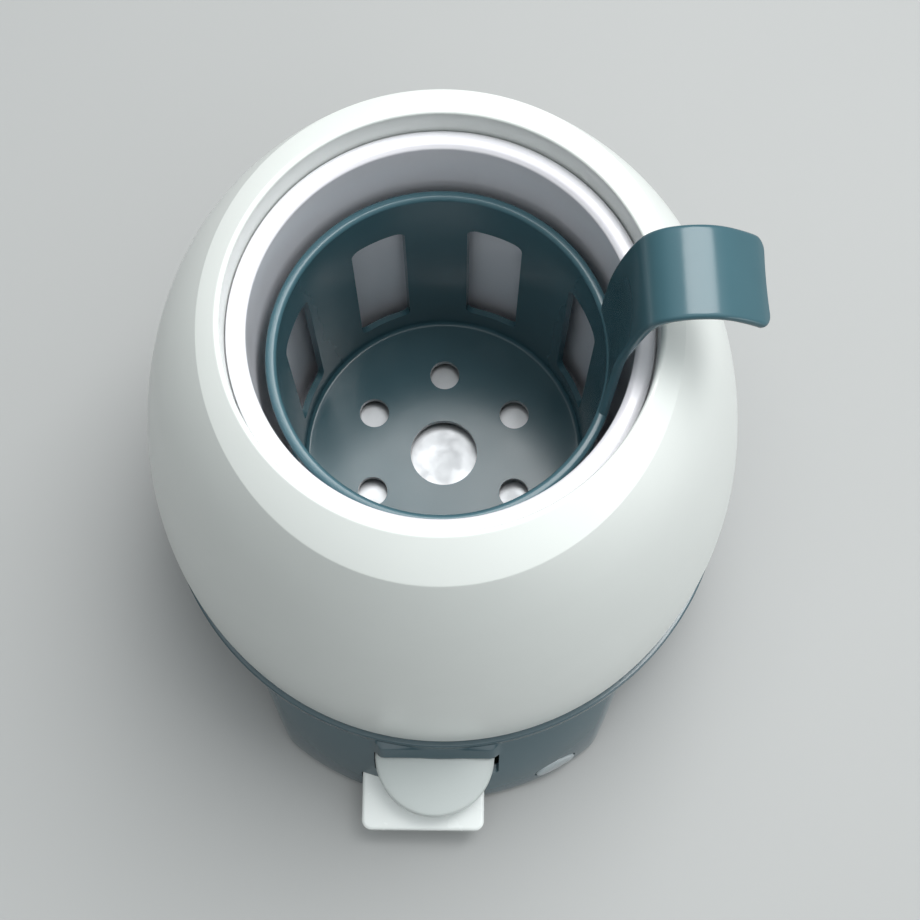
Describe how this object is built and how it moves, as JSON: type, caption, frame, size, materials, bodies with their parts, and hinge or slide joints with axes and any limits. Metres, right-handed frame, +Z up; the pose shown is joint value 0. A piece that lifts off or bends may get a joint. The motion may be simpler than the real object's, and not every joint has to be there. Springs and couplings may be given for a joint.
{
  "type": "bottle warmer",
  "caption": "Egg-shaped electric bottle warmer: white shell on a grey-blue base, round water well, lift-out basket with a hook handle, and a half-hidden thumb dial on a front pod.",
  "frame": {"origin": "middle of the footprint's bounding box, on the surface the feet stand on; the egg's axis stands 9.5 mm behind it (+Y)", "axes": "+Z up; the front with the dial pod faces -Y; +X is to the right seen from the front, on the side of the hook handle"},
  "size_m": [0.1554, 0.176, 0.1794],
  "materials": {
    "shell_white": "smooth moulded, satin gloss",
    "liner_white": "smooth moulded, gloss",
    "base_grey_blue": "smooth moulded, high gloss",
    "cover_grey_blue": "moulded, fine grain",
    "basket_grey_blue": "slightly see-through moulded plastic, high gloss",
    "dial_white": "satin",
    "foot_rubber": "soft, matt",
    "silicone": "moulded silicone, matt",
    "aluminium": "pressed sheet, satin",
    "steel": "zinc plated",
    "brass": "turned pin",
    "element_ceramic": "fired, matt",
    "black_plastic": "moulded",
    "circuit_board": "solder mask over laminate",
    "indicator_lens": "polished, see-through",
    "lamp": "moulded lamp body",
    "wire_brown": "wire insulation",
    "wire_blue": "wire insulation",
    "wire_white": "glass-braid insulation"
  },
  "bodies": {
    "body": {"outer_shell": "shell_white", "chamber_liner": "liner_white", "heater_seal": "silicone", "heater_plate": "aluminium", "clamp_ring": "steel", "heating_element": "element_ceramic", "element_bracket": "steel", "thermostat": "black_plastic", "thermal_fuse": "aluminium", "base_housing": "base_grey_blue", "indicator_lens": "indicator_lens", "base_cover": "cover_grey_blue", "dial_plate": "shell_white", "control_board": "circuit_board", "dial_switch": "black_plastic", "indicator_lamp": "lamp", "board_relay": "black_plastic", "mains_inlet": "black_plastic", "inlet_pin_1": "brass", "inlet_pin_2": "brass", "lead_live": "wire_brown", "lead_neutral": "wire_blue", "heater_lead_1": "wire_white", "heater_lead_2": "wire_white", "clamp_screw_1": "steel", "cover_screw_1": "steel", "rubber_foot_1": "foot_rubber", "clamp_screw_2": "steel", "cover_screw_2": "steel", "rubber_foot_2": "foot_rubber", "clamp_screw_3": "steel", "cover_screw_3": "steel", "rubber_foot_3": "foot_rubber", "clamp_screw_4": "steel", "cover_screw_4": "steel", "rubber_foot_4": "foot_rubber"},
    "lifter": {"bottle_lifter": "basket_grey_blue"},
    "dial": {"temperature_dial": "dial_white", "dial_spindle": "steel"}
  },
  "joints": [
    {"name": "lifter_lift", "type": "slide", "parent": "body", "child": "lifter", "axis": [0, 0, 1], "range_m": [0, 0.125]},
    {"name": "dial_turn", "type": "hinge", "parent": "body", "child": "dial", "pos_m": [-0.0016, -0.0687, 0.0216], "axis": [0, 0, 1], "range_deg": [0, 270]}
  ]
}
